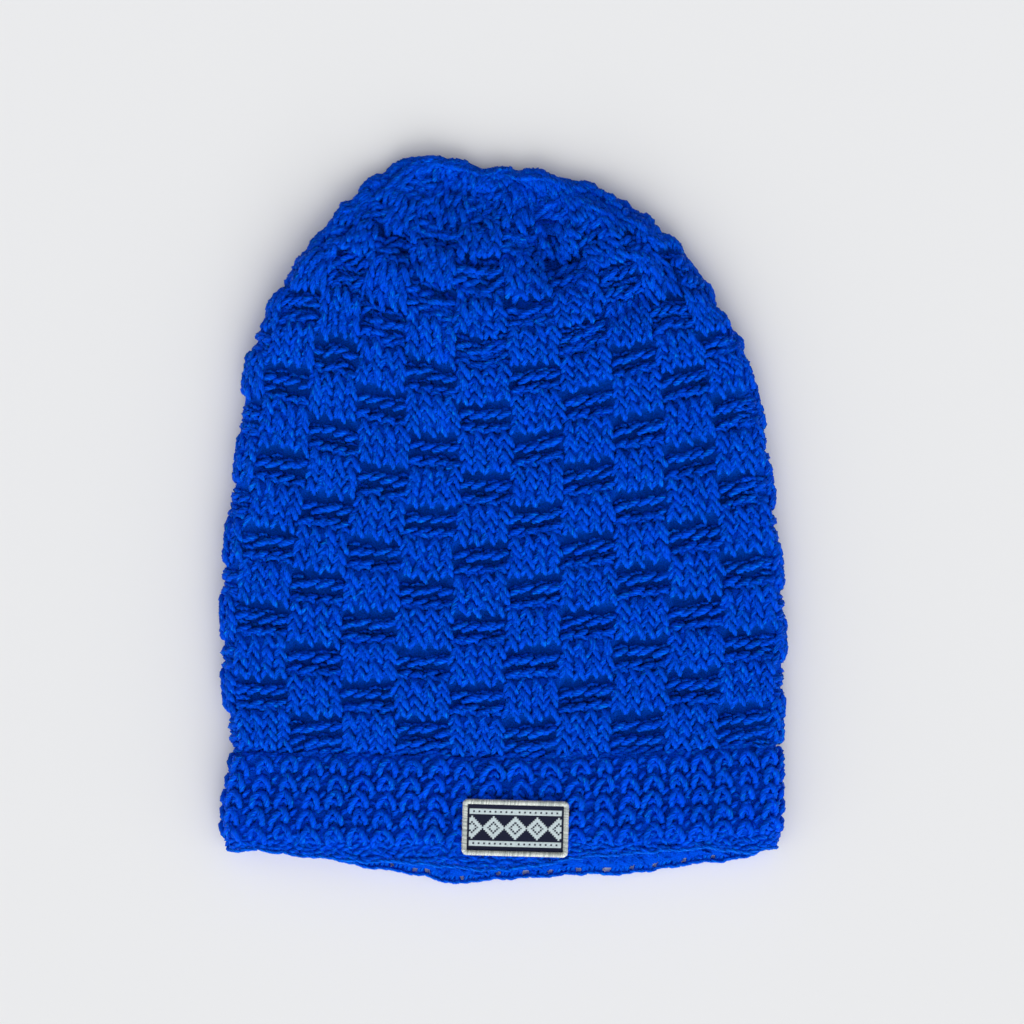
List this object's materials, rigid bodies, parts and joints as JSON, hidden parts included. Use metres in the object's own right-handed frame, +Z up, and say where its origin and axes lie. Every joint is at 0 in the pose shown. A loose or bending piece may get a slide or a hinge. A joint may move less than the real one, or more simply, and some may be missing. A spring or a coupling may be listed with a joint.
{
  "type": "crocheted basketweave beanie",
  "caption": "Slouchy crocheted beanie lying flat: basketweave crown with a gathered top, upright ribbed band, chained rim and a bordered patch on the front.",
  "frame": {"origin": "middle of the bottom of the box round the whole hat, on the surface that it lies on", "axes": "+Z up, out of the front of the hat as it lies on its back; +Y from the rim to the top of the crown; +X to the right, seen from above"},
  "size_m": [0.2372, 0.3036, 0.0231],
  "materials": {
    "crown_yarn": "soft plied acrylic yarn, crocheted in raised and sunk blocks",
    "band_yarn": "soft plied acrylic yarn, crocheted in upright ribs",
    "rim_yarn": "soft plied acrylic yarn in a chain",
    "patch_cloth": "fine woven cloth with a silver-grey figure",
    "border_thread": "satin overlocked thread"
  },
  "bodies": {
    "root": {"crown": "crown_yarn", "band": "band_yarn", "rim_chain": "rim_yarn", "patch": "patch_cloth", "patch_border": "border_thread"}
  },
  "joints": []
}
